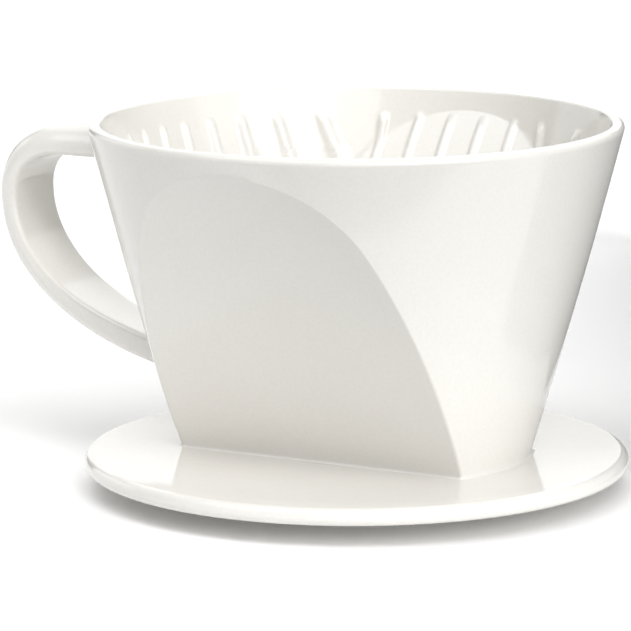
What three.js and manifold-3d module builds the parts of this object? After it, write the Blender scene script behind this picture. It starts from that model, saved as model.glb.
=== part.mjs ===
// Pour over dripper in glazed ceramic: a wedge shaped filter cone on a round saucer flange,
// with a foot ring underneath and a strap handle at one end.
// Millimetres, +Z up. The origin is on the table, under the middle of the whole object's length:
// the handle reaches to -X, so the filter cone's axis stands at x = AXIS_X.
import * as THREE from "three";
import { mergeVertices } from "three/addons/utils/BufferGeometryUtils.js";
import Module from "manifold-3d";

const wasm = await Module();
wasm.setup();

// Driving dimensions.
const FLANGE_RADIUS = 62.5;
const FLANGE_THICKNESS = 4;
const FOOT_HEIGHT = 5;
const FOOT_OUTER_RADIUS = 35;
const FOOT_INNER_RADIUS = 30;
const FOOT_CHAMFER = 0.8;
const CONE_HEIGHT = 76; // rim above the flange's top face
const BASE_RADIUS = 40.2; // of the round ends, where they meet the flange
const END_SLOPE = 0.3; // how fast the round ends spread with height, at the flange
const END_BULGE = 0.00031; // how fast that slope falls off, which bows the ends out a little
const BASE_HALF_WIDTH = 17.3; // from the axis to each flat face, at the flange
const FACE_SLOPE = 0.562; // how fast the flat faces spread with height
const FLARE_START = 54; // height where the flat faces start to curve out to the round rim
const FLARE_RATE = 0.009;
const RIM_WALL = 3.1;
const BASE_WALL = 3.8;
const RIM_OUTER_ROUND = 1.3;
const RIM_INNER_ROUND = 0.8;
const FLOOR_TOP = 0.6; // of the cone's inner floor, above the flange's top face
const JOINT_GAP = 0.3; // between two luted pieces

const HOLE_RADIUS = 2.5;
const HOLE_SPACING = 17;
const HOLE_COUNT = 3;
const SPIGOT_INSET = 4; // of the plug under the cone's floor, inside the cone's foot

const RIB_WIDTH = 2.2;
const RIB_HEIGHT = 1.2;
const RIB_TOP_BELOW_RIM = 5.4;
const END_RIB_SPACING = 7.5; // ribs on the round ends, in planes across Y
const END_RIBS_EACH_SIDE = 6;
const FACE_RIB_SPACING = 8.4; // ribs on the flat faces, in planes across X
const FACE_RIBS_EACH_SIDE = 3;

const HANDLE_REACH = 87; // from the cone's axis to the inside of the grip
const HANDLE_THICKNESS = 6.8;
const HANDLE_WIDTH = 18;
const HANDLE_ROOT_WIDTH = 14.4;
const HANDLE_UNDER_ARM = 64; // underside of the top arm, above the flange's top face
const HANDLE_ROOT = 21; // inside of the lower root, above the flange's top face
const SHOULDER_LENGTH = 13; // along the arm, from where it starts to turn down to the grip
const SHOULDER_DROP = 10; // and how far down the turn runs
const GRIP_CURVE = 26; // how far below the arm the grip's lower curve keeps straight down
const ROOT_CURVE = 30; // how far out from the cone's foot the lower curve heads for the root
const ROOT_CURVE_RISE = 5.5; // and how far above the root
const TAPER_DROP = 14; // how far under the arm the strap starts to get narrower

const RIM_RADIUS = outerRadius(CONE_HEIGHT); // of the round ends, before the rim is rounded
const WALL_LEAN = Math.atan(END_SLOPE - 2 * END_BULGE * CONE_HEIGHT); // of the ends at the rim
const SPIGOT_RADIUS = BASE_RADIUS - SPIGOT_INSET;
const SPIGOT_HALF_WIDTH = BASE_HALF_WIDTH - SPIGOT_INSET;
const HANDLE_TIP_X = -(HANDLE_REACH + HANDLE_THICKNESS);
const AXIS_X = -(HANDLE_TIP_X + FLANGE_RADIUS) / 2;
const FLANGE_TOP = FOOT_HEIGHT + FLANGE_THICKNESS;
const GLAZE = 0xefede6;
const BARE_CLAY = 0xd9cdbb;

const LATHE_STEPS = 96;
const HOLE_STEPS = 24;
const HANDLE_STEPS = 44;
const HEIGHT_STEPS = 14;
const END_HEIGHT_STEPS = 4;
const ROUND_STEPS = 4;
const OVERSHOOT = 2; // how far a cutting solid runs past what it cuts

// A closed geometry as a manifold solid.
function solid(geometry) {
  geometry.deleteAttribute("normal");
  geometry.deleteAttribute("uv");
  const merged = mergeVertices(geometry, 1e-4);
  const mesh = new wasm.Mesh({
    numProp: 3,
    vertProperties: merged.attributes.position.array,
    triVerts: new Uint32Array(merged.index.array),
  });
  return new wasm.Manifold(mesh);
}

// A profile of [radius, height] points turned about the Z axis.
function turned(profile) {
  const points = profile.map(([radius, height]) => new THREE.Vector2(radius, height));
  return solid(new THREE.LatheGeometry(points, LATHE_STEPS).rotateX(Math.PI / 2));
}

// An outline in the XY plane, raised from z = low to z = high.
function raised(outline, low, high) {
  const shape = new THREE.Shape(outline);
  const settings = { depth: high - low, bevelEnabled: false };
  return solid(new THREE.ExtrudeGeometry(shape, settings).translate(0, 0, low));
}

// A block given by its lowest and highest corners.
function block(low, high) {
  const size = high.map((value, axis) => value - low[axis]);
  const centre = high.map((value, axis) => (value + low[axis]) / 2);
  return solid(new THREE.BoxGeometry(...size).translate(...centre));
}

// Points of an arc about a centre, from one angle to the other.
function arc(centre, radius, from, to) {
  const points = [];
  for (let step = 0; step <= ROUND_STEPS; step++) {
    const angle = from + ((to - from) * step) / ROUND_STEPS;
    points.push([centre[0] + radius * Math.cos(angle), centre[1] + radius * Math.sin(angle)]);
  }
  return points;
}

// The filter cone's own frame has its origin on the axis at the flange's top face.
// Radius of the round ends at a height.
function outerRadius(height) {
  return BASE_RADIUS + (END_SLOPE - END_BULGE * height) * height;
}

// Distance from the axis to each flat face at a height. The faces run straight for most of their
// height, then curve out and meet the round wall just below the rim.
function outerHalfWidth(height) {
  const flare = Math.max(0, height - FLARE_START);
  return BASE_HALF_WIDTH + FACE_SLOPE * height + FLARE_RATE * flare * flare;
}

// Horizontal thickness of the wall at a height.
function wall(height) {
  return BASE_WALL + ((RIM_WALL - BASE_WALL) * height) / CONE_HEIGHT;
}

// A cone that follows the round ends, inset by a distance, up to a chosen shape at the top.
function endCone(inset, low, top) {
  const high = top[0][1];
  const side = [];
  for (let step = 0; step < END_HEIGHT_STEPS; step++) {
    const height = low + ((high - low) * step) / END_HEIGHT_STEPS;
    side.push([outerRadius(height) - inset(height), height]);
  }
  return turned([[0, low], ...side, ...top]);
}

// A wedge that follows the flat faces, inset by a distance, as long as the flange.
function faceWedge(inset, low, high) {
  const side = [];
  for (let step = 0; step <= HEIGHT_STEPS; step++) {
    const height = low + ((high - low) * step) / HEIGHT_STEPS;
    side.push([outerHalfWidth(height) - inset(height), height]);
  }
  const mirrored = side.map(([width, height]) => [-width, height]).reverse();
  const outline = [...side, ...mirrored].map(([y, z]) => new THREE.Vector2(y, z));
  const shape = new THREE.Shape(outline);
  const length = 2 * FLANGE_RADIUS;
  const geometry = new THREE.ExtrudeGeometry(shape, { depth: length, bevelEnabled: false });
  geometry.translate(0, 0, -length / 2);
  geometry.rotateY(Math.PI / 2).rotateX(Math.PI / 2);
  return solid(geometry);
}

// The space inside the cone, made smaller all round by rib heights when asked.
function innerEndCone(extra) {
  const inset = (height) => wall(height) + extra;
  const height = CONE_HEIGHT - RIM_INNER_ROUND;
  const centre = outerRadius(height) - inset(height) + RIM_INNER_ROUND / Math.cos(WALL_LEAN);
  const mouth = arc([centre, height], RIM_INNER_ROUND, Math.PI - WALL_LEAN, Math.PI / 2);
  const top = [...mouth, [centre, CONE_HEIGHT + OVERSHOOT], [0, CONE_HEIGHT + OVERSHOOT]];
  return endCone(inset, FLOOR_TOP, top);
}

function innerWedge(extra) {
  return faceWedge((height) => wall(height) + extra, FLOOR_TOP, CONE_HEIGHT + OVERSHOOT);
}

// Raised ribs that hold the paper off the wall. The ribs on the round ends lie in planes across Y,
// those on the flat faces lie in planes across X, and they meet along the arched edges.
function ribs() {
  const top = CONE_HEIGHT - RIB_TOP_BELOW_RIM;
  const far = FLANGE_RADIUS;
  const low = FLOOR_TOP - RIB_HEIGHT;
  let endSlabs = block([-far, -RIB_WIDTH / 2, low], [far, RIB_WIDTH / 2, top]);
  for (let index = 1; index <= END_RIBS_EACH_SIDE; index++) {
    for (const side of [-1, 1]) {
      const y = side * index * END_RIB_SPACING;
      endSlabs = endSlabs.add(block([-far, y - RIB_WIDTH / 2, low], [far, y + RIB_WIDTH / 2, top]));
    }
  }
  let faceSlabs = null;
  for (let index = 0; index < FACE_RIBS_EACH_SIDE; index++) {
    for (const side of [-1, 1]) {
      const x = side * (index + 0.5) * FACE_RIB_SPACING;
      const slab = block([x - RIB_WIDTH / 2, -far, low], [x + RIB_WIDTH / 2, far, top]);
      faceSlabs = faceSlabs ? faceSlabs.add(slab) : slab;
    }
  }
  const endRibs = endSlabs.subtract(innerEndCone(RIB_HEIGHT));
  const faceRibs = faceSlabs.subtract(innerWedge(RIB_HEIGHT));
  return endRibs.add(faceRibs);
}

// Outline of the cone's foot: a circle with two flat sides.
function footOutline(radius, halfWidth) {
  const corner = Math.asin(halfWidth / radius);
  const points = [];
  for (const middle of [0, Math.PI]) {
    for (let step = 0; step <= ROUND_STEPS * 2; step++) {
      const angle = middle - corner + (corner * step) / ROUND_STEPS;
      points.push(new THREE.Vector2(radius * Math.cos(angle), radius * Math.sin(angle)));
    }
  }
  return points;
}

// The filter cone with its floor, drain holes and ribs. A spigot under the floor fills the
// opening in the flange.
function filterCone() {
  const height = CONE_HEIGHT - RIM_OUTER_ROUND;
  const centre = outerRadius(height) - RIM_OUTER_ROUND / Math.cos(WALL_LEAN);
  const rim = arc([centre, height], RIM_OUTER_ROUND, -WALL_LEAN, Math.PI / 2);
  const outerCone = endCone(() => 0, 0, [...rim, [0, CONE_HEIGHT]]);
  const outer = outerCone.intersect(faceWedge(() => 0, 0, CONE_HEIGHT + OVERSHOOT));
  const cavity = innerEndCone(0).intersect(innerWedge(0)).subtract(ribs());
  const spigot = raised(
    footOutline(SPIGOT_RADIUS, SPIGOT_HALF_WIDTH), -FLANGE_THICKNESS, FLOOR_TOP / 2);
  let cone = outer.add(spigot).subtract(cavity);
  for (let index = 0; index < HOLE_COUNT; index++) {
    const x = (index - (HOLE_COUNT - 1) / 2) * HOLE_SPACING;
    const depth = 4 * FLANGE_THICKNESS;
    const drill = new THREE.CylinderGeometry(HOLE_RADIUS, HOLE_RADIUS, depth, HOLE_STEPS);
    drill.rotateX(Math.PI / 2).translate(x, 0, 0);
    cone = cone.subtract(solid(drill));
  }
  return cone;
}

// The saucer flange: a disc with a half round edge and an opening for the cone's spigot.
function flange() {
  const thickness = FLANGE_THICKNESS - JOINT_GAP;
  const edge = thickness / 2;
  const centre = [FLANGE_RADIUS - edge, -FLANGE_THICKNESS + edge];
  const profile = [
    [0, -FLANGE_THICKNESS],
    ...arc(centre, edge, -Math.PI / 2, 0),
    ...arc(centre, edge, 0, Math.PI / 2).slice(1),
    [0, -JOINT_GAP],
  ];
  const outline = footOutline(SPIGOT_RADIUS + JOINT_GAP, SPIGOT_HALF_WIDTH + JOINT_GAP);
  const opening = raised(outline, -FLANGE_THICKNESS - OVERSHOOT, OVERSHOOT);
  return turned(profile).subtract(opening);
}

// The foot ring, unglazed on the face that it stands on.
function footRing() {
  const top = -FLANGE_THICKNESS - JOINT_GAP;
  const bottom = -FLANGE_TOP;
  const chamfer = FOOT_CHAMFER;
  const profile = [
    [FOOT_INNER_RADIUS, top],
    [FOOT_INNER_RADIUS, bottom + chamfer],
    [FOOT_INNER_RADIUS + chamfer, bottom],
    [FOOT_OUTER_RADIUS - chamfer, bottom],
    [FOOT_OUTER_RADIUS, bottom + chamfer],
    [FOOT_OUTER_RADIUS, top],
    [FOOT_INNER_RADIUS, top],
  ];
  return turned(profile);
}

// Centreline of the grip's inner face, from the top arm round to the lower root.
function handlePath() {
  const at = (x, z) => new THREE.Vector3(x, 0, z);
  const shoulder = at(-HANDLE_REACH + SHOULDER_LENGTH, HANDLE_UNDER_ARM);
  const grip = at(-HANDLE_REACH, HANDLE_UNDER_ARM - SHOULDER_DROP);
  const path = new THREE.CurvePath();
  path.add(new THREE.LineCurve3(at(-BASE_RADIUS, HANDLE_UNDER_ARM), shoulder));
  path.add(new THREE.CubicBezierCurve3(
    shoulder,
    at(-HANDLE_REACH + 0.4 * SHOULDER_LENGTH, HANDLE_UNDER_ARM),
    at(-HANDLE_REACH, HANDLE_UNDER_ARM - 0.3 * SHOULDER_DROP),
    grip,
  ));
  path.add(new THREE.CubicBezierCurve3(
    grip,
    at(-HANDLE_REACH, HANDLE_UNDER_ARM - GRIP_CURVE),
    at(-BASE_RADIUS - ROOT_CURVE, HANDLE_ROOT + ROOT_CURVE_RISE),
    at(-BASE_RADIUS, HANDLE_ROOT - JOINT_GAP),
  ));
  return path;
}

// The strap handle: flat inside, rounded outside, narrower at its lower root.
function handle() {
  const half = HANDLE_WIDTH / 2;
  const section = new THREE.Shape();
  section.moveTo(0, half);
  for (const side of [1, -1]) {
    for (let step = 1; step <= ROUND_STEPS * 2; step++) {
      const turn = ((step / (ROUND_STEPS * 2)) * Math.PI) / 2;
      const angle = side === 1 ? turn : Math.PI / 2 + turn;
      section.lineTo(-HANDLE_THICKNESS * Math.sin(angle), half * Math.cos(angle));
    }
  }
  section.closePath();
  const settings = { steps: HANDLE_STEPS, extrudePath: handlePath(), bevelEnabled: false };
  const strap = solid(new THREE.ExtrudeGeometry(section, settings));
  const taper = [
    [HANDLE_ROOT_WIDTH / 2, 0],
    [HANDLE_ROOT_WIDTH / 2, HANDLE_ROOT],
    [HANDLE_WIDTH / 2, HANDLE_UNDER_ARM - TAPER_DROP],
    [HANDLE_WIDTH / 2, CONE_HEIGHT],
  ];
  const mirrored = taper.map(([y, z]) => [-y, z]).reverse();
  const front = [...taper, ...mirrored].map(([y, z]) => new THREE.Vector2(y, z));
  const slab = new THREE.ExtrudeGeometry(new THREE.Shape(front), {
    depth: 2 * FLANGE_RADIUS,
    bevelEnabled: false,
  });
  slab.rotateY(Math.PI / 2).rotateX(Math.PI / 2).translate(-2 * FLANGE_RADIUS, 0, 0);
  const wallTop = [[RIM_RADIUS + JOINT_GAP, CONE_HEIGHT], [0, CONE_HEIGHT]];
  const clearance = endCone(() => -JOINT_GAP, 0, wallTop);
  return strap.intersect(solid(slab)).subtract(clearance);
}

// A solid as a named mesh in its own material.
function piece(name, body, color, roughness) {
  const { vertProperties, triVerts } = body.getMesh();
  const geometry = new THREE.BufferGeometry();
  geometry.setAttribute("position", new THREE.BufferAttribute(vertProperties, 3));
  geometry.setIndex(new THREE.BufferAttribute(triVerts, 1));
  const mesh = new THREE.Mesh(
    geometry, new THREE.MeshStandardMaterial({ color, roughness, metalness: 0 }));
  mesh.name = name;
  return mesh;
}

const dripper = new THREE.Group();
dripper.position.set(AXIS_X, 0, FLANGE_TOP);
dripper.add(
  piece("filter_cone", filterCone(), GLAZE, 0.12),
  piece("saucer_flange", flange(), GLAZE, 0.12),
  piece("foot_ring", footRing(), BARE_CLAY, 0.6),
  piece("handle", handle(), GLAZE, 0.12),
);

export default dripper;
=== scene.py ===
# Pour over dripper in glazed ceramic: the fine surfaces, glaze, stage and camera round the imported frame.
import math

import bpy
import numpy as np
from mathutils import Matrix, Vector
from mathutils.geometry import delaunay_2d_cdt


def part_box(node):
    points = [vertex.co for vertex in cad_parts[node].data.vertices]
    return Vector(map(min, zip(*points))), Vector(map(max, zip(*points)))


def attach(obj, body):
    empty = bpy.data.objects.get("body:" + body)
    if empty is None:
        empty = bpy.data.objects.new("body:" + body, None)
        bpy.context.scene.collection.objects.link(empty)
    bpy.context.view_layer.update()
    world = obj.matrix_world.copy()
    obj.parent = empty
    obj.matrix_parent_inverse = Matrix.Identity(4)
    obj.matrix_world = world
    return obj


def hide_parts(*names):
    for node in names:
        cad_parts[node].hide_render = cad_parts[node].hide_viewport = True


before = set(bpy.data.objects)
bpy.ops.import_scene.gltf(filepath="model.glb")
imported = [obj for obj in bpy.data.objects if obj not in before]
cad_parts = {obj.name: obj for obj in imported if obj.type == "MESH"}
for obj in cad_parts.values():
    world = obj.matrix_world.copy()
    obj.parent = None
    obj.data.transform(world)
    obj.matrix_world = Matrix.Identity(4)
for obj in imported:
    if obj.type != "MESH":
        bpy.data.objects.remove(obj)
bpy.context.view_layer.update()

MM = 0.001

# The cone's own frame, in millimetres: origin on its axis at the flange's top face.
CONE_LOW, CONE_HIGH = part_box("filter_cone")
FLANGE_LOW, FLANGE_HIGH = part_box("saucer_flange")
FOOT_LOW, FOOT_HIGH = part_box("foot_ring")
FLANGE_THICKNESS = 4.0
AXIS_X = (CONE_LOW.x + CONE_HIGH.x) / 2
FLANGE_TOP = FLANGE_LOW.z + FLANGE_THICKNESS * MM
CONE_HEIGHT = (CONE_HIGH.z - FLANGE_TOP) / MM
FLANGE_RADIUS = (FLANGE_HIGH.x - FLANGE_LOW.x) / 2 / MM
FOOT_RADIUS = (FOOT_HIGH.x - FOOT_LOW.x) / 2 / MM
FOOT_WIDTH = 5.0

BASE_RADIUS = 40.2  # of the round ends, where they meet the flange
END_SLOPE = 0.3  # of the round ends there
END_BULGE = 0.00031  # how fast that slope falls off with height
BASE_HALF_WIDTH = 17.3  # from the axis to a flat face, at the flange
FACE_SLOPE = 0.562
FLARE_START = 54.0  # height above which the flat faces curve outwards
FLARE_RATE = 0.009
RIM_WALL = 3.1
BASE_WALL = 3.8
RIM_OUTER_ROUND = 1.3
RIM_INNER_ROUND = 0.8
WALL_LEAN = math.atan(END_SLOPE - 2 * END_BULGE * CONE_HEIGHT)
EDGE_FILLET = 0.9  # rounds the arched edges outside
INNER_FILLET = 9.0
BASE_FILLET = 0.8  # glaze where the cone meets the flange
BASE_SUNK = 0.5  # how far the wall runs on into the flange
FLOOR_TOP = 0.6
FLOOR_FILLET = 2.0

END_RIB_SPACING = 7.5
END_RIBS = 7  # from each end's middle to one side, the middle one included
FACE_RIB_SPACING = 8.4
FACE_RIBS = 3  # on each side of a flat face's middle
RIB_TOP = CONE_HEIGHT - 5.2
RIB_HEIGHT = 0.95
RIB_CROWN = 0.3  # half width of a rib's top
RIB_RUN_OUT = 3.0  # length over which a rib rises from the wall at its top
RIB_FOOT = 1.35  # half width of a rib where it meets the wall
FACE_RIB_ZONE = 24.0  # half length of the part whose ribs run up as on a flat face
RIB_ZONE_BLEND = 1.4  # width over which the ribs of a face give way to those of an end

HOLE_RADIUS = 2.5
HOLE_SPACING = 17.0
HOLE_COUNT = 3
HOLE_ROUND = 0.6

# How finely the meshes are divided.
FACE_COLUMNS = 72
FILLET_COLUMNS = 8
END_COLUMNS = 170
BASE_FILLET_STEPS = 6
WALL_ROWS = 30
FLARE_ROWS = 26
BAND_ROWS = 8
RIB_TOP_STEP = 0.2
RIB_ROWS = 62
FLOOR_FILLET_STEPS = 7
ROUND_STEPS = 6
RIM_STEPS = 8
HOLE_STEPS = 48
FLANGE_STEPS = 256
BULLNOSE_STEPS = 20
FLANGE_ROWS = 9


def smooth(value):
    """0 below 0, 1 above 1 and a smooth step between."""
    value = np.clip(value, 0.0, 1.0)
    return value * value * (3 - 2 * value)


def lerp(start, end, share):
    return start + (end - start) * share


# ---------------------------------------------------------------- meshes

def placed(points):
    """Points of the cone's frame, in millimetres, in the row frame, in metres."""
    points = np.asarray(points, float).reshape(-1, 3) * MM
    return points + np.array([AXIS_X, 0.0, FLANGE_TOP])


def grid_faces(rows, columns):
    """Quads of a grid whose rows follow each other, closed round its columns."""
    column = np.arange(columns)
    row = np.arange(rows - 1)[:, None]
    following = (column + 1) % columns
    corners = [
        row * columns + column,
        row * columns + following,
        (row + 1) * columns + following,
        (row + 1) * columns + column,
    ]
    return np.stack(corners, axis=-1).reshape(-1, 4)


def looped_faces(rows, columns):
    """Quads of a grid that is closed both ways."""
    faces = grid_faces(rows, columns)
    closing = faces[-columns:] + columns
    closing[:, 2:] -= columns * rows
    return np.concatenate([faces, closing])


def mesh_piece(name, points, faces, material, node_name):
    """A smooth shaded piece that stands for a CAD node."""
    mesh = bpy.data.meshes.new(name)
    mesh.from_pydata(placed(points).tolist(), [], [list(map(int, face)) for face in faces])
    mesh.validate()
    mesh.shade_smooth()
    mesh.materials.append(material)
    piece = bpy.data.objects.new(name, mesh)
    bpy.context.scene.collection.objects.link(piece)
    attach(piece, "root")
    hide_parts(node_name)
    return piece


def arc_points(centre, radius, start, end, steps):
    """Points of an arc as (across, up) pairs."""
    angles = np.linspace(start, end, steps + 1)
    return np.stack([centre[0] + radius * np.cos(angles), centre[1] + radius * np.sin(angles)], 1)


def turn_angles(steps):
    return np.arange(steps) * 2 * math.pi / steps


def turned(profile, steps, x=0.0):
    """Rings of points round an upright axis at x, for (radius, height) pairs. A radius is one number,
    or one for each direction."""
    angles = turn_angles(steps)
    return [
        np.column_stack([x + radius * np.cos(angles), radius * np.sin(angles), np.full(steps, height)])
        for radius, height in profile
    ]


# ---------------------------------------------------------------- the cone's sections

def outer_radius(height):
    return BASE_RADIUS + (END_SLOPE - END_BULGE * height) * height


def outer_half_width(height):
    flare = max(0.0, height - FLARE_START)
    return BASE_HALF_WIDTH + FACE_SLOPE * height + FLARE_RATE * flare * flare


def wall(height):
    return lerp(BASE_WALL, RIM_WALL, height / CONE_HEIGHT)


LEAST_BEND = 0.3  # length kept between a section's flat and its round end


def quadrant(radius, half_width, fillet, least_flat):
    """One quarter of a level section, from the middle of the flat face to the middle of the round
    end: points, outward normals and the half length of the flat."""
    half = min(half_width, radius)
    flat = math.sqrt(max((radius - fillet) ** 2 - (half - fillet) ** 2, 0.0))
    corner = math.atan2(half - fillet, flat)
    start = max(flat, least_flat)
    end = max(radius * math.cos(corner), start + LEAST_BEND)

    def on_section(x):
        across = np.clip((x - flat) / fillet, 0.0, 1.0)
        rounded = half - fillet + fillet * np.sqrt(1 - across**2)
        circle = np.sqrt(np.maximum(radius**2 - x**2, 0.0))
        on_circle = x > radius * math.cos(corner)
        y = np.where(on_circle, circle, rounded)
        normal_x = np.where(on_circle, x / radius, across)
        normal_y = np.sqrt(np.maximum(1 - normal_x**2, 0.0))
        return np.stack([x, y], 1), np.stack([normal_x, normal_y], 1)

    face = on_section(start * np.arange(FACE_COLUMNS) / FACE_COLUMNS)
    steps = np.arange(FILLET_COLUMNS) / FILLET_COLUMNS
    if flat >= least_flat:
        turn = lerp(math.pi / 2, corner, steps)
        normal = np.stack([np.cos(turn), np.sin(turn)], 1)
        bend = (np.array([flat, half - fillet]) + fillet * normal, normal)
    else:
        bend = on_section(lerp(start, end, steps))
    first = math.atan2(math.sqrt(max(radius**2 - end**2, 0.0)), end)
    turn = lerp(first, 0.0, np.arange(END_COLUMNS + 1) / END_COLUMNS)
    normal = np.stack([np.cos(turn), np.sin(turn)], 1)
    round_end = (radius * normal, normal)
    points, normals = (np.concatenate(parts) for parts in zip(face, bend, round_end))
    return points, normals, flat


def ring(radius, half_width, fillet, least_flat):
    """A whole level section: points, outward normals and the half length of its flats."""
    points, normals, flat = quadrant(radius, half_width, fillet, least_flat)
    turns = []
    for signs, backwards in (((1, 1), False), ((1, -1), True), ((-1, -1), False), ((-1, 1), True)):
        order = slice(None, 0, -1) if backwards else slice(None, -1)
        turns.append((points[order] * signs, normals[order] * signs))
    ring_points, ring_normals = (np.concatenate(parts) for parts in zip(*turns))
    return ring_points, ring_normals, flat


def level(points, height):
    return np.column_stack([points, np.full(len(points), height)])


# ---------------------------------------------------------------- the cone

OUTER_LEAST_FLAT = 6.0  # half length over which the columns of a flat face are always spread
TOP_BAND = CONE_HEIGHT - 4.0  # where the wall piece ends inside and the ribbed lining begins


def inner_ring(height, inset=0.0):
    return ring(
        outer_radius(height) - wall(height) - inset,
        outer_half_width(height) - wall(height) - inset,
        INNER_FILLET,
        FACE_RIB_ZONE,
    )


def rim_profile():
    """The rounding over the rim, from outside to inside, as (radius, height) pairs."""
    outer_height = CONE_HEIGHT - RIM_OUTER_ROUND
    outer_centre = outer_radius(outer_height) - RIM_OUTER_ROUND / math.cos(WALL_LEAN)
    inner_height = CONE_HEIGHT - RIM_INNER_ROUND
    inner_radius = outer_radius(inner_height) - wall(inner_height)
    inner_centre = inner_radius + RIM_INNER_ROUND / math.cos(WALL_LEAN)
    outside = arc_points(
        (outer_centre, outer_height), RIM_OUTER_ROUND, -WALL_LEAN, math.pi / 2, RIM_STEPS)
    inside = arc_points(
        (inner_centre, inner_height), RIM_INNER_ROUND, math.pi / 2, math.pi - WALL_LEAN, ROUND_STEPS)
    return np.concatenate([outside, inside])


def cone_wall(material):
    """The outside of the cone, its rim, and the plain band below the rim inside."""
    rows = [(BASE_FILLET, -BASE_SUNK)]
    for angle in np.linspace(0, math.pi / 2, BASE_FILLET_STEPS + 1):
        height = BASE_FILLET * (1 - math.cos(angle))
        swell = BASE_FILLET * (1 - math.sin(angle))
        rows.append((swell, height))
    low = np.linspace(BASE_FILLET, FLARE_START, WALL_ROWS)[1:]
    high = np.linspace(FLARE_START, CONE_HEIGHT - RIM_OUTER_ROUND, FLARE_ROWS)[1:-1]
    rows += [(0.0, height) for height in np.concatenate([low, high])]
    points = []
    for swell, height in rows:
        radius = outer_radius(height) + swell
        half_width = outer_half_width(height) + swell
        section = ring(radius, half_width, EDGE_FILLET + swell, OUTER_LEAST_FLAT)[0]
        points.append(level(section, height))
    profile = rim_profile()
    for index, (radius, height) in enumerate(profile):
        share = smooth(index / (len(profile) - 1))
        flat = lerp(OUTER_LEAST_FLAT, FACE_RIB_ZONE, share)
        points.append(level(ring(radius, radius, EDGE_FILLET, flat)[0], height))
    for height in np.linspace(CONE_HEIGHT - RIM_INNER_ROUND, TOP_BAND, BAND_ROWS)[1:]:
        points.append(level(inner_ring(height)[0], height))
    faces = grid_faces(len(points), len(points[0]))[:, ::-1]
    return mesh_piece(
        "cone_wall", np.concatenate(points), faces, material, "filter_cone")


def rib_share(offset):
    """A rib's height across its width, from 1 on its crown to 0 on the wall."""
    return smooth((RIB_FOOT - np.abs(offset)) / (RIB_FOOT - RIB_CROWN))


def rib_raise(points, flat, height):
    """How far the ribs stand out of the inner wall at the points of one level section."""
    x, y = np.abs(points[:, 0]), np.abs(points[:, 1])
    on_face = smooth((max(flat, FACE_RIB_ZONE) - x) / RIB_ZONE_BLEND + 0.5)
    ends = np.zeros(len(points))
    faces = np.zeros(len(points))
    for index in range(END_RIBS):
        ends = np.maximum(ends, rib_share(y - index * END_RIB_SPACING))
    for index in range(FACE_RIBS):
        faces = np.maximum(faces, rib_share(x - (index + 0.5) * FACE_RIB_SPACING))
    fade = smooth((RIB_TOP - height) / RIB_RUN_OUT)
    return RIB_HEIGHT * fade * (on_face * faces + (1 - on_face) * ends)


def ribbed_level(height, inset=0.0, share=1.0):
    """A level section of the inner wall with this share of its ribs' height."""
    section, normals, flat = inner_ring(height, inset)
    raised = rib_raise(section, flat, height)[:, None] * share
    return level(section - normals * raised, height)


def cone_lining(material):
    """The inner wall with its ribs, down to the edge of the floor."""
    near_top = np.arange(TOP_BAND, RIB_TOP - RIB_RUN_OUT - 1.5 * RIB_TOP_STEP, -RIB_TOP_STEP)
    below = np.linspace(near_top[-1], FLOOR_TOP + FLOOR_FILLET, RIB_ROWS)[1:]
    points = [ribbed_level(height) for height in np.concatenate([near_top, below])]
    for angle in np.linspace(0, math.pi / 2, FLOOR_FILLET_STEPS + 1)[1:]:
        height = FLOOR_TOP + FLOOR_FILLET * (1 - math.sin(angle))
        inset = FLOOR_FILLET * (1 - math.cos(angle))
        points.append(ribbed_level(height, inset, math.cos(angle)))
    faces = grid_faces(len(points), len(points[0]))[:, ::-1]
    return mesh_piece(
        "cone_lining", np.concatenate(points), faces, material, "filter_cone")


def hole_centres():
    middle = (HOLE_COUNT - 1) / 2
    return [(index - middle) * HOLE_SPACING for index in range(HOLE_COUNT)]


WITHIN_THE_EDGES = 2  # the kind of triangulation
TOUCHING = 1e-6  # points nearer than this are one


def plate(outline, height, hole_radius, facing_up):
    """A level plate inside an outline with the drain holes left open: points and triangles."""
    hole = turned([(hole_radius, height)], HOLE_STEPS)[0][::-1, :2]
    loops = [np.asarray(outline)] + [hole + (x, 0) for x in hole_centres()]
    edges = []
    first = 0
    for loop in loops:
        count = len(loop)
        edges += [(first + i, first + (i + 1) % count) for i in range(count)]
        first += count
    corners = [Vector(corner) for corner in np.concatenate(loops)]
    result = delaunay_2d_cdt(corners, edges, [], WITHIN_THE_EDGES, TOUCHING)
    points = np.array([[p.x, p.y, height] for p in result[0]])
    triangles = []
    for triangle in result[2]:
        middle = points[list(triangle)].mean(0)
        in_hole = any(math.hypot(middle[0] - x, middle[1]) < hole_radius for x in hole_centres())
        if not in_hole:
            triangles.append(list(triangle) if facing_up else list(triangle)[::-1])
    return points, triangles


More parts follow.
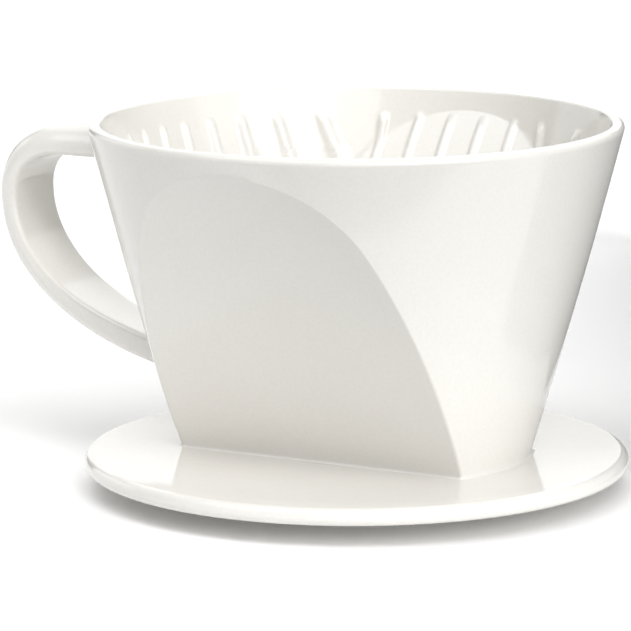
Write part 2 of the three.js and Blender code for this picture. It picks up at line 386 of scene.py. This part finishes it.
def cone_floor(material):
    """The cone's floor, flush with the flange underneath, with three rounded drain holes."""
    bottom = -FLANGE_THICKNESS
    wide = HOLE_RADIUS + HOLE_ROUND
    top_outline = inner_ring(FLOOR_TOP, FLOOR_FILLET)[0][::-1]
    top_points, top_faces = plate(top_outline, FLOOR_TOP, wide, True)
    low_points, low_faces = plate(spigot_outline(), bottom, wide, False)
    points = [top_points, low_points]
    faces = top_faces + [[i + len(top_points) for i in face] for face in low_faces]
    first = len(top_points) + len(low_points)
    upper = arc_points(
        (wide, FLOOR_TOP - HOLE_ROUND), HOLE_ROUND, math.pi / 2, math.pi, ROUND_STEPS)
    lower = arc_points(
        (wide, bottom + HOLE_ROUND), HOLE_ROUND, math.pi, 1.5 * math.pi, ROUND_STEPS)
    profile = np.concatenate([upper, lower])
    for x in hole_centres():
        points += turned(profile, HOLE_STEPS, x)
        faces += (grid_faces(len(profile), HOLE_STEPS) + first).tolist()
        first += HOLE_STEPS * len(profile)
    return mesh_piece(
        "cone_floor", np.concatenate(points), faces, material, "filter_cone")


# ---------------------------------------------------------------- the flange and the foot ring

SPIGOT_INSET = 4.0  # how far the cone's foot stands inside its own outline, in the flange
SPIGOT_RADIUS = BASE_RADIUS - SPIGOT_INSET
SPIGOT_HALF_WIDTH = BASE_HALF_WIDTH - SPIGOT_INSET
FOOT_FILLET = 1.2
FOOT_EDGE = 0.9
FOOT_SUNK = 0.05  # how far the ring's fillets run into the flange
CLAY_HEIGHT = 0.35  # how far the bare clay reaches up from the table


def spigot_radius_at(angle):
    """Distance from the axis to the edge of the opening in the flange, in one direction."""
    across = abs(math.sin(angle))
    return min(SPIGOT_RADIUS, SPIGOT_HALF_WIDTH / max(across, 1e-6))


def spigot_outline():
    angles = turn_angles(FLANGE_STEPS)
    return [(spigot_radius_at(a) * math.cos(a), spigot_radius_at(a) * math.sin(a)) for a in angles]


def saucer_flange(material):
    """The saucer flange: flat above and below, with a half round edge."""
    edge = FLANGE_THICKNESS / 2
    bullnose = arc_points((FLANGE_RADIUS - edge, -edge), edge, math.pi / 2, -math.pi / 2, BULLNOSE_STEPS)
    shares = np.linspace(0.0, 1.0, FLANGE_ROWS)[1:-1]
    opening = np.array([spigot_radius_at(angle) for angle in turn_angles(FLANGE_STEPS)])
    rim = bullnose[0][0]
    rows = [(opening, -FLANGE_THICKNESS), (opening, 0.0)]
    rows += [(lerp(opening, rim, share), 0.0) for share in shares]
    rows += [(radius, height) for radius, height in bullnose]
    rows += [(lerp(rim, opening, share), -FLANGE_THICKNESS) for share in shares]
    points = turned(rows, FLANGE_STEPS)
    faces = looped_faces(len(points), FLANGE_STEPS)[:, ::-1]
    return mesh_piece(
        "flange_plate", np.concatenate(points), faces, material, "saucer_flange")


def foot_ring(glaze_material, clay_material):
    """The foot ring: glazed sides that run into the flange, and a bare face to stand on."""
    inner = FOOT_RADIUS - FOOT_WIDTH
    bottom = (FOOT_LOW.z - FLANGE_TOP) / MM
    top = FOOT_SUNK - FLANGE_THICKNESS
    quarter = math.pi / 2
    corners = [
        (FOOT_RADIUS + FOOT_FILLET, top - FOOT_FILLET, FOOT_FILLET, quarter, 2 * quarter),
        (FOOT_RADIUS - FOOT_EDGE, bottom + FOOT_EDGE, FOOT_EDGE, 0, -quarter),
        (inner + FOOT_EDGE, bottom + FOOT_EDGE, FOOT_EDGE, -quarter, -2 * quarter),
        (inner - FOOT_FILLET, top - FOOT_FILLET, FOOT_FILLET, 0, quarter),
    ]
    profile = np.concatenate([
        arc_points((across, up), radius, start, end, ROUND_STEPS)
        for across, up, radius, start, end in corners
    ])
    points = turned(profile, FLANGE_STEPS)
    faces = looped_faces(len(points), FLANGE_STEPS)[:, ::-1]
    piece = mesh_piece(
        "foot_ring_fired", np.concatenate(points), faces, glaze_material, "foot_ring")
    piece.data.materials.append(clay_material)
    for face in piece.data.polygons:
        if face.center.z < FOOT_LOW.z + CLAY_HEIGHT * MM:
            face.material_index = 1
    return piece


# ---------------------------------------------------------------- the handle

HANDLE_REACH = 87.0  # from the cone's axis to the inside of the grip
UNDER_ARM = 64.0  # underside of the top arm, above the flange's top face
SHOULDER_LENGTH = 13.0  # of the bend from the arm to the grip
SHOULDER_DROP = 10.0
SHOULDER_CURVE = 5.0  # these two shape the bend
GRIP_CORNER = 3.0
ARM_START = 16.5  # how far outside the cone's foot radius the inner line starts, in the wall
ROOT_HEIGHT = 21.0
ROOT_END = 4.5  # how far outside the cone's foot radius it ends, in the wall
ROOT_GAP = 0.2
GRIP_CURVE = 26.0  # these three shape the sweep from the grip to the lower root
ROOT_CURVE = 30.0
ROOT_CURVE_RISE = 5.5
ARM_POINTS = 60
BEND_POINTS = 80
GRIP_POINTS = 160
HANDLE_STEPS = 260
SECTION_POWER = 2.2  # 2 makes the strap's back half an ellipse, more makes it squarer
INNER_EDGE = 1.1  # radius of the edges of the inner face
INNER_FACE_STEPS = 13
CROWN_STEPS = 40
# How the strap's half width and thickness go along the inner line, as (share, half width, thickness).
HANDLE_SIZES = [
    (0.0, 8.7, 7.3),
    (0.24, 8.7, 6.9),
    (0.36, 8.9, 6.6),
    (0.55, 9.0, 6.9),
    (0.72, 8.6, 7.3),
    (0.84, 7.7, 7.5),
    (1.0, 6.9, 7.3),
]
SMOOTHING = 25  # steps over which those sizes are evened out
TOP_ROOT_FILLET = 2.2
LOW_ROOT_FILLET = 5.0
HANDLE_DEPTH = 1.5  # how far the handle is let into the wall
CREASE_SHARE = 0.35  # where a faint crease crosses the inner face, along the handle
CREASE_DEPTH = 0.22
CREASE_WIDTH = 0.5
CREASE_HALF_LENGTH = 5.8
CREASE_RUN_OUT = 1.5
ON_INNER_FACE = 0.01  # a section's points below this are on its inner face


def bezier(p0, p1, p2, p3, shares):
    p0, p1, p2, p3 = (np.array(p, float) for p in (p0, p1, p2, p3))
    share = np.asarray(shares)[:, None]
    rest = 1 - share
    return rest**3 * p0 + 3 * rest**2 * share * p1 + 3 * rest * share**2 * p2 + share**3 * p3


def handle_line():
    """The inner face's line in the XZ plane, from inside the rim's wall to inside the lower wall."""
    start = (-BASE_RADIUS - ARM_START, UNDER_ARM)
    shoulder = (-HANDLE_REACH + SHOULDER_LENGTH, UNDER_ARM)
    grip = (-HANDLE_REACH, UNDER_ARM - SHOULDER_DROP)
    end = (-BASE_RADIUS - ROOT_END, ROOT_HEIGHT - ROOT_GAP)
    arm = lerp(np.array(start), np.array(shoulder), np.linspace(0, 1, ARM_POINTS)[:-1, None])
    bend = bezier(
        shoulder,
        (-HANDLE_REACH + SHOULDER_CURVE, UNDER_ARM),
        (-HANDLE_REACH, UNDER_ARM - GRIP_CORNER),
        grip,
        np.linspace(0, 1, BEND_POINTS)[:-1],
    )
    low = bezier(
        grip,
        (-HANDLE_REACH, UNDER_ARM - GRIP_CURVE),
        (-BASE_RADIUS - ROOT_CURVE, ROOT_HEIGHT + ROOT_CURVE_RISE),
        end,
        np.linspace(0, 1, GRIP_POINTS),
    )
    fine = np.concatenate([arm, bend, low])
    length = np.concatenate([[0], np.cumsum(np.linalg.norm(np.diff(fine, axis=0), axis=1))])
    even = np.linspace(0, length[-1], HANDLE_STEPS)
    return np.stack([np.interp(even, length, fine[:, axis]) for axis in (0, 1)], 1)


def sizes_along(shares, column):
    """One column of HANDLE_SIZES at these shares of the handle's length, evened out."""
    keys = np.array(HANDLE_SIZES)
    sizes = np.interp(shares, keys[:, 0], keys[:, column])
    kernel = np.hanning(SMOOTHING) / np.hanning(SMOOTHING).sum()
    return np.convolve(np.pad(sizes, SMOOTHING // 2, mode="edge"), kernel, mode="valid")


def handle_section(half, thickness):
    """The strap's section as (across, outward) pairs and their outward normals."""
    corner = INNER_EDGE
    flat = np.linspace(-(half - corner), half - corner, INNER_FACE_STEPS + 1)[:-1]
    inner = np.stack([flat, np.zeros(INNER_FACE_STEPS)], 1)
    right = arc_points((half - corner, corner), corner, -math.pi / 2, 0, ROUND_STEPS)[:-1]
    angles = np.linspace(0, math.pi, CROWN_STEPS + 1)[:-1]
    power = 2 / SECTION_POWER
    across = half * np.sign(np.cos(angles)) * np.abs(np.cos(angles)) ** power
    outward = corner + (thickness - corner) * np.abs(np.sin(angles)) ** power
    crown = np.stack([across, outward], 1)
    left = arc_points((-(half - corner), corner), corner, math.pi, 1.5 * math.pi, ROUND_STEPS)[:-1]
    loop = np.concatenate([inner, right, crown, left])
    ahead = np.roll(loop, -1, 0) - np.roll(loop, 1, 0)
    normals = np.stack([ahead[:, 1], -ahead[:, 0]], 1)
    return loop, normals / np.linalg.norm(normals, axis=1)[:, None]


def crease(section, beyond):
    """How deep the crease is pressed into a section that lies this far beyond its middle."""
    inner = section[:, 1] < ON_INNER_FACE
    run_out = smooth((CREASE_HALF_LENGTH - np.abs(section[:, 0])) / CREASE_RUN_OUT)
    return CREASE_DEPTH * math.exp(-(beyond / CREASE_WIDTH) ** 2) * inner * run_out


def root_swell(points, fillet):
    """How far a root's fillet stands out of the strap at points near the wall."""
    distance = np.hypot(points[:, 0], points[:, 1]) - outer_radius(points[:, 2])
    distance = np.clip(distance * math.cos(WALL_LEAN), 0, fillet)
    return fillet - np.sqrt(fillet**2 - (fillet - distance) ** 2)


def kept_in_wall(points):
    """Points no deeper in the cone's wall than the handle is let into it."""
    across = np.abs(points[:, 1])
    radius = outer_radius(points[:, 2]) - HANDLE_DEPTH
    deepest = -np.sqrt(radius**2 - across**2)
    points[:, 0] = np.minimum(points[:, 0], deepest)
    return points


def on_handle(place, outward, section):
    """A section of the strap, at a place on the inner line, as points of the cone's frame."""
    x = place[0] + outward[0] * section[:, 1]
    z = place[1] + outward[1] * section[:, 1]
    return np.column_stack([x, section[:, 0], z])


def strap_handle(material):
    """The strap handle, swept along its inner line and flared where it is luted to the wall."""
    line = handle_line()
    along = np.gradient(line, axis=0)
    along /= np.linalg.norm(along, axis=1)[:, None]
    outward = np.stack([along[:, 1], -along[:, 0]], 1)
    shares = np.linspace(0, 1, HANDLE_STEPS)
    halves = sizes_along(shares, 1)
    depths = sizes_along(shares, 2)
    length = np.linalg.norm(np.diff(line, axis=0), axis=1).sum()
    rows = []
    for step, share in enumerate(shares):
        section, normals = handle_section(halves[step], depths[step])
        section[:, 1] += crease(section, (share - CREASE_SHARE) * length)
        fillet = TOP_ROOT_FILLET if share < 0.5 else LOW_ROOT_FILLET
        swell = root_swell(on_handle(line[step], outward[step], section), fillet)
        section = section + normals * swell[:, None]
        rows.append(kept_in_wall(on_handle(line[step], outward[step], section)))
    columns = len(rows[0])
    faces = grid_faces(len(rows), columns)[:, ::-1].tolist()
    faces.append(list(range(columns)))
    faces.append([(len(rows) - 1) * columns + i for i in range(columns)][::-1])
    return mesh_piece(
        "strap_handle", np.concatenate(rows), faces, material, "handle")


# ---------------------------------------------------------------- materials

def new_material(name):
    """A material with its node tree and its shader."""
    material = bpy.data.materials.new(name)
    material.use_nodes = True
    tree = material.node_tree
    return material, tree, tree.nodes["Principled BSDF"]


def noise(tree, scale, detail):
    """Noise that is fixed to the object."""
    place = tree.nodes.new("ShaderNodeTexCoord")
    made = tree.nodes.new("ShaderNodeTexNoise")
    made.inputs["Scale"].default_value = scale
    made.inputs["Detail"].default_value = detail
    tree.links.new(place.outputs["Object"], made.inputs["Vector"])
    return made.outputs["Fac"]


def ramp(tree, factor, low, low_colour, high, high_colour):
    """Colours between two, as the factor goes from low to high."""
    made = tree.nodes.new("ShaderNodeValToRGB")
    first, last = made.color_ramp.elements
    first.position = low
    first.color = (*low_colour, 1)
    last.position = high
    last.color = (*high_colour, 1)
    tree.links.new(factor, made.inputs["Fac"])
    return made.outputs["Color"]


def spread(tree, factor, low, high):
    """The factor spread between two values."""
    made = tree.nodes.new("ShaderNodeMapRange")
    made.inputs["To Min"].default_value = low
    made.inputs["To Max"].default_value = high
    tree.links.new(factor, made.inputs["Value"])
    return made.outputs["Result"]


def bump(tree, height, strength, distance, normal=None):
    """A rough surface, on top of another one when its normal is given."""
    made = tree.nodes.new("ShaderNodeBump")
    made.inputs["Strength"].default_value = strength
    made.inputs["Distance"].default_value = distance
    tree.links.new(height, made.inputs["Height"])
    if normal:
        tree.links.new(normal, made.inputs["Normal"])
    return made.outputs["Normal"]


def glaze(name, roughness):
    """Glossy fired glaze: slow colour drift, faint specks, a rippled surface and uneven gloss."""
    material, tree, shader = new_material(name)
    shader.inputs["IOR"].default_value = 1.5
    shader.inputs["Coat Weight"].default_value = 0.25
    shader.inputs["Coat Roughness"].default_value = 0.06

    drift = noise(tree, 22, 3)
    tint = ramp(tree, drift, 0.3, THIN_GLAZE, 0.7, WARM_WHITE)
    specks = noise(tree, 1400, 2)
    speck_tint = ramp(tree, specks, 0.3, (0.975, 0.972, 0.965), 0.6, (1, 1, 1))
    colour = tree.nodes.new("ShaderNodeMix")
    colour.data_type = "RGBA"
    colour.blend_type = "MULTIPLY"
    colour.inputs["Factor"].default_value = 1
    tree.links.new(tint, colour.inputs["A"])
    tree.links.new(speck_tint, colour.inputs["B"])
    tree.links.new(colour.outputs["Result"], shader.inputs["Base Color"])

    gloss = spread(tree, drift, roughness * 0.85, roughness * 1.25)
    tree.links.new(gloss, shader.inputs["Roughness"])
    ripples = bump(tree, noise(tree, 110, 2), 0.25, 0.00012)
    tree.links.new(bump(tree, specks, 0.3, 0.00001, ripples), shader.inputs["Normal"])
    return material


def bare_clay():
    """Unglazed fired clay: matt, slightly sandy, warmer than the glaze."""
    material, tree, shader = new_material("bare_clay")
    sand = noise(tree, 900, 4)
    tint = ramp(tree, sand, 0.35, (0.52, 0.46, 0.38), 0.65, (0.66, 0.60, 0.51))
    tree.links.new(tint, shader.inputs["Base Color"])
    tree.links.new(spread(tree, sand, 0.6, 0.85), shader.inputs["Roughness"])
    tree.links.new(bump(tree, sand, 0.5, 0.00006), shader.inputs["Normal"])
    return material


# ---------------------------------------------------------------- camera, lights and floor

CAMERA_AZIMUTH = 29.3
CAMERA_ELEVATION = 10.61
CAMERA_ROLL = -0.24
CAMERA_LENS = 242.5
CAMERA_DEPTH = 977.97  # mm from the camera to the flange's centre, along the view
CAMERA_ASIDE = 9.47  # mm from the view's axis to the flange's centre, to the right
CAMERA_BELOW = 30.43  # and downwards
UP = Vector((0, 0, 1))


def make_camera():
    azimuth, elevation = math.radians(CAMERA_AZIMUTH), math.radians(CAMERA_ELEVATION)
    roll = math.radians(CAMERA_ROLL)
    back = Vector((
        math.sin(azimuth) * math.cos(elevation),
        -math.cos(azimuth) * math.cos(elevation),
        math.sin(elevation),
    ))
    level_right = Vector((math.cos(azimuth), math.sin(azimuth), 0))
    level_up = back.cross(level_right)
    right = level_right * math.cos(roll) + level_up * math.sin(roll)
    up = level_up * math.cos(roll) - level_right * math.sin(roll)
    target = Vector((AXIS_X, 0, FLANGE_TOP))
    place = target + (back * CAMERA_DEPTH - right * CAMERA_ASIDE + up * CAMERA_BELOW) * MM
    data = bpy.data.cameras.new("camera")
    data.lens = CAMERA_LENS
    data.sensor_width = 36
    data.clip_start = 0.01
    data.clip_end = 50
    camera = bpy.data.objects.new("camera", data)
    turn = Matrix((right, up, back)).transposed().to_4x4()
    camera.matrix_world = Matrix.Translation(place) @ turn
    bpy.context.scene.collection.objects.link(camera)
    bpy.context.scene.camera = camera


def stage_sheet(name, corners, material):
    """A flat sheet of the stage through four corners, in metres."""
    mesh = bpy.data.meshes.new(name)
    mesh.from_pydata(corners, [], [(0, 1, 2, 3)])
    mesh.materials.append(material)
    sheet = bpy.data.objects.new(name, mesh)
    bpy.context.scene.collection.objects.link(sheet)
    return sheet


def paper(name, shade):
    """Plain matt paper, as (material, shader)."""
    material, tree, shader = new_material(name)
    shader.inputs["Base Color"].default_value = (shade, shade, shade, 1)
    shader.inputs["Roughness"].default_value = 0.9
    return material, shader


FLOOR_HALF = 6.0  # metres
FLOOR_SHADE = 0.93
FLOOR_GLOW = 0.04


def make_stage():
    """The pale floor, with a faint glow of its own that lightens the soft shadows on it."""
    material, shader = paper("floor_paper", FLOOR_SHADE)
    shader.inputs["Specular IOR Level"].default_value = 0.1
    shader.inputs["Emission Color"].default_value = (1, 1, 1, 1)
    shader.inputs["Emission Strength"].default_value = FLOOR_GLOW
    signs = [(-1, -1), (1, -1), (1, 1), (-1, 1)]
    stage_sheet("floor", [(x * FLOOR_HALF, y * FLOOR_HALF, 0) for x, y in signs], material)


LYING = 1.0  # height of a card that lies on the floor


def card(name, corners, shade):
    """A matt card through four corners given as (aside, away, up) in millimetres, aside and away
    being level and measured from the cone's axis as the camera sees it. A card that lies on the
    floor casts no shadow."""
    azimuth = math.radians(CAMERA_AZIMUTH)
    right = Vector((math.cos(azimuth), math.sin(azimuth), 0))
    away = Vector((-math.sin(azimuth), math.cos(azimuth), 0))
    middle = Vector((AXIS_X, 0, 0))
    places = [middle + (right * a + away * b + UP * c) * MM for a, b, c in corners]
    made = stage_sheet(name, [place[:] for place in places], paper(name, shade)[0])
    made.visible_camera = False
    made.visible_shadow = any(up > LYING for aside, back, up in corners)


def make_cards():
    """Grey cards just out of the picture: they draw the sides of the white glaze and calm its front."""
    card("card_right", [(100, -40, 0), (100, 330, 0), (100, 330, 110), (100, -40, 110)], 0.38)
    low = [(76, 50, LYING), (92, 330, LYING), (160, 330, LYING), (160, 50, LYING)]
    card("card_right_low", low, 0.3)
    front = [(-400, -140, LYING), (400, -140, LYING), (400, -800, LYING), (-400, -800, LYING)]
    card("card_front", front, 0.05)


# Wide soft lights all round, as (name, azimuth, elevation, width in degrees, strength).
# Azimuth 0 is the side that the front face looks to, and 90 is the object's right.
SOFT_LIGHTS = [
    ("front_overhead", 20, 65, 30, 0.20),
    ("right_front_key", 50, 50, 20, 0.14),
    ("right_front_high", 60, 40, 50, 0.27),
    ("left_front_high", -30, 60, 50, 0.305),
    ("back_high", 209, 45, 50, 0.165),
    ("back_left_high", 240, 40, 50, 0.08),
    ("back_right_high", 170, 40, 50, 0.17),
    ("back_low", 209, 12, 40, 0.14),
    ("left_low", -100, 12, 40, 0.125),
    ("right_low", 90, 12, 40, 0.115),
    ("right_front_low", 65, 15, 40, 0.31),
    ("front_low", 35, 12, 40, 0.205),
]
ROOM_LIGHT = 0.02


def soft_light(name, azimuth, elevation, width, strength):
    data = bpy.data.lights.new(name, "SUN")
    data.energy = strength * math.pi
    data.angle = math.radians(width)
    lamp = bpy.data.objects.new(name, data)
    a, e = math.radians(azimuth), math.radians(elevation)
    away = Vector((math.sin(a) * math.cos(e), -math.cos(a) * math.cos(e), math.sin(e)))
    lamp.location = away
    lamp.rotation_mode = "QUATERNION"
    lamp.rotation_quaternion = away.to_track_quat("Z", "Y")
    bpy.context.scene.collection.objects.link(lamp)


def make_lights():
    world = bpy.data.worlds.new("studio")
    world.use_nodes = True
    background = world.node_tree.nodes["Background"]
    background.inputs["Color"].default_value = (1, 1, 1, 1)
    background.inputs["Strength"].default_value = ROOM_LIGHT
    bpy.context.scene.world = world
    for light in SOFT_LIGHTS:
        soft_light(*light)


make_camera()
make_stage()
make_cards()
make_lights()

WARM_WHITE = (0.80, 0.785, 0.75)
THIN_GLAZE = (0.785, 0.768, 0.73)  # where the glaze is thinner and the clay shows through
cone_glaze = glaze("cone_glaze", 0.12)
flange_glaze = glaze("flange_glaze", 0.1)
handle_glaze = glaze("handle_glaze", 0.13)
clay = bare_clay()

cone_wall(cone_glaze)
cone_lining(cone_glaze)
cone_floor(cone_glaze)
saucer_flange(flange_glaze)
foot_ring(flange_glaze, clay)
strap_handle(handle_glaze)

bpy.context.scene.view_settings.view_transform = "Standard"
